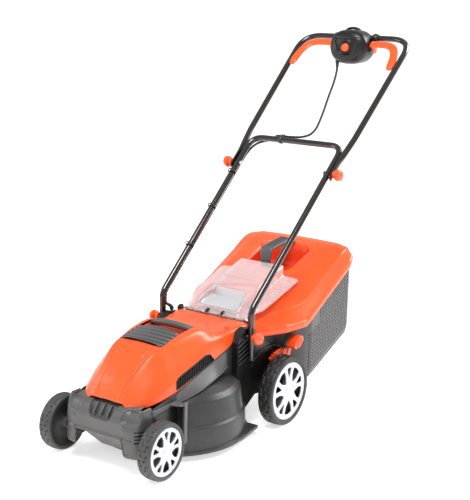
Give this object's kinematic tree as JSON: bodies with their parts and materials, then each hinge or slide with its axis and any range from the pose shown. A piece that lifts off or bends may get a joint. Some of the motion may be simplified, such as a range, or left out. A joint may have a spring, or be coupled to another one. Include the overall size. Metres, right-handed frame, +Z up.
{
  "type": "walk-behind electric rotary lawn mower",
  "caption": "Electric rotary mower with a domed motor hood, stepped drum deck, four spoked wheels, folding tube handle, clear rear flap and a rear grass box.",
  "frame": {"origin": "on the ground under the middle of the whole length and width", "axes": "+Z up, +Y to the rear where the grass box and the handle are, -Y forward, +X to the side with the height lever"},
  "size_m": [0.444, 1.31, 1.083],
  "materials": {
    "orange_plastic": "glossy moulded orange",
    "dark_grey_plastic": "satin moulded dark grey",
    "mid_grey_plastic": "satin moulded mid grey",
    "black_plastic": "satin black",
    "tube_paint": "glossy brown-black paint on steel tube",
    "tyre_plastic": "dull dark tread",
    "silver_plastic": "silver painted moulding",
    "zinc_steel": "zinc plated steel",
    "clear_plastic": "clear moulding with a pink tint",
    "copper": "enamelled copper windings",
    "lead_rubber": "black lead"
  },
  "bodies": {
    "root": {"deck_shell": "dark_grey_plastic", "front_bumper": "mid_grey_plastic", "motor_hood": "orange_plastic", "side_vent_left": "black_plastic", "side_vent_right": "black_plastic", "intake_cover": "mid_grey_plastic", "carry_handle": "mid_grey_plastic", "motor_mount": "black_plastic", "motor_can": "zinc_steel", "motor_stator": "copper", "bearing_lower": "zinc_steel", "height_quadrant": "orange_plastic", "lower_bolt_left": "zinc_steel", "lower_bolt_right": "zinc_steel", "flap_hinge_rod": "zinc_steel", "flap_spring": "zinc_steel", "lead_deck": "lead_rubber", "lead_gland": "black_plastic"},
    "front_crank": {"front_axle": "zinc_steel"},
    "rear_crank": {"rear_axle": "zinc_steel", "height_lever": "orange_plastic"},
    "link_rod": {"height_link_rod": "zinc_steel"},
    "rotor": {"rotor_shaft": "zinc_steel", "rotor_core": "zinc_steel", "cooling_fan": "black_plastic", "blade_carrier": "black_plastic", "blade": "zinc_steel", "blade_nut": "zinc_steel"},
    "lower_handle": {"lower_handle_tube": "tube_paint", "mid_bolt_left": "zinc_steel", "mid_bolt_right": "zinc_steel", "crossbar_clip": "black_plastic", "lead_lower": "lead_rubber"},
    "upper_handle": {"upper_handle_tube": "tube_paint", "switch_box_front": "black_plastic", "switch_box_rear": "black_plastic", "switch_unit": "black_plastic", "button_spring": "zinc_steel", "lead_upper": "lead_rubber"},
    "bail": {"bail_left": "orange_plastic", "bail_right": "orange_plastic", "bail_link": "zinc_steel"},
    "button": {"lock_off_button": "orange_plastic"},
    "flap": {"rear_flap": "clear_plastic"},
    "grass_box": {"grass_box_lid": "orange_plastic", "grass_box_tub": "mid_grey_plastic", "grass_box_handle": "mid_grey_plastic"},
    "front_wheel_left_body": {"front_wheel_left": "tyre_plastic", "front_hubcap_left": "silver_plastic"},
    "front_wheel_right_body": {"front_wheel_right": "tyre_plastic", "front_hubcap_right": "silver_plastic"},
    "rear_wheel_left_body": {"rear_wheel_left": "tyre_plastic", "rear_hubcap_left": "silver_plastic"},
    "rear_wheel_right_body": {"rear_wheel_right": "tyre_plastic", "rear_hubcap_right": "silver_plastic"},
    "lower_knob_left_body": {"lower_knob_left": "orange_plastic"},
    "lower_knob_right_body": {"lower_knob_right": "orange_plastic"},
    "mid_knob_left_body": {"mid_knob_left": "orange_plastic"},
    "mid_knob_right_body": {"mid_knob_right": "orange_plastic"}
  },
  "joints": [
    {"name": "height_adjust", "type": "hinge", "parent": "root", "child": "rear_crank", "pos_m": [0, -0.0195, 0.1], "axis": [1, 0, 0], "range_deg": [-6, 32]},
    {"name": "front_height", "type": "hinge", "parent": "root", "child": "front_crank", "pos_m": [0, -0.5335, 0.076], "axis": [1, 0, 0], "range_deg": [-6, 32]},
    {"name": "link_rod_pivot", "type": "hinge", "parent": "rear_crank", "child": "link_rod", "pos_m": [-0.166, -0.0195, 0.122], "axis": [1, 0, 0], "range_deg": [-32, 6]},
    {"name": "rear_wheel_left_spin", "type": "hinge", "parent": "rear_crank", "child": "rear_wheel_left_body", "pos_m": [0.2, -0.0595, 0.1], "axis": [1, 0, 0], "continuous": true},
    {"name": "front_wheel_left_spin", "type": "hinge", "parent": "front_crank", "child": "front_wheel_left_body", "pos_m": [0.166, -0.5735, 0.076], "axis": [1, 0, 0], "continuous": true},
    {"name": "rear_wheel_right_spin", "type": "hinge", "parent": "rear_crank", "child": "rear_wheel_right_body", "pos_m": [-0.2, -0.0595, 0.1], "axis": [1, 0, 0], "continuous": true},
    {"name": "front_wheel_right_spin", "type": "hinge", "parent": "front_crank", "child": "front_wheel_right_body", "pos_m": [-0.166, -0.5735, 0.076], "axis": [1, 0, 0], "continuous": true},
    {"name": "rotor_spin", "type": "hinge", "parent": "root", "child": "rotor", "pos_m": [0, -0.3155, 0.05], "axis": [0, 0, 1], "continuous": true},
    {"name": "lower_handle_fold", "type": "hinge", "parent": "root", "child": "lower_handle", "pos_m": [0, -0.1681, 0.273], "axis": [1, 0, 0], "range_deg": [0, 125]},
    {"name": "upper_handle_fold", "type": "hinge", "parent": "lower_handle", "child": "upper_handle", "pos_m": [0, 0.2105, 0.683], "axis": [1, 0, 0], "range_deg": [-92, 0]},
    {"name": "lower_knob_left_turn", "type": "hinge", "parent": "root", "child": "lower_knob_left_body", "pos_m": [0.176, -0.1681, 0.273], "axis": [1, 0, 0], "continuous": true},
    {"name": "mid_knob_left_turn", "type": "hinge", "parent": "lower_handle", "child": "mid_knob_left_body", "pos_m": [0.19, 0.2105, 0.683], "axis": [1, 0, 0], "continuous": true},
    {"name": "lower_knob_right_turn", "type": "hinge", "parent": "root", "child": "lower_knob_right_body", "pos_m": [-0.176, -0.1681, 0.273], "axis": [1, 0, 0], "continuous": true},
    {"name": "mid_knob_right_turn", "type": "hinge", "parent": "lower_handle", "child": "mid_knob_right_body", "pos_m": [-0.19, 0.2105, 0.683], "axis": [1, 0, 0], "continuous": true},
    {"name": "bail_squeeze", "type": "hinge", "parent": "upper_handle", "child": "bail", "pos_m": [0, 0.6225, 1.022], "axis": [1, 0, 0], "range_deg": [-20, 0], "stiffness_Nm_per_rad": 2, "springref_deg": 8.59},
    {"name": "button_press", "type": "slide", "parent": "upper_handle", "child": "button", "axis": [0, 1, 0], "range_m": [0, 0.005], "stiffness_N_per_m": 400, "springref_m": -0.004},
    {"name": "flap_lift", "type": "hinge", "parent": "root", "child": "flap", "pos_m": [0, -0.1195, 0.3], "axis": [1, 0, 0], "range_deg": [0, 75], "stiffness_Nm_per_rad": 0.4, "springref_deg": -17.19},
    {"name": "grass_box_withdraw", "type": "slide", "parent": "root", "child": "grass_box", "axis": [0, 1, 0], "range_m": [0, 0.35]}
  ],
  "couplings": [
    {"joint": "front_height", "follows": "height_adjust", "ratio": 1},
    {"joint": "link_rod_pivot", "follows": "height_adjust", "ratio": -1}
  ]
}
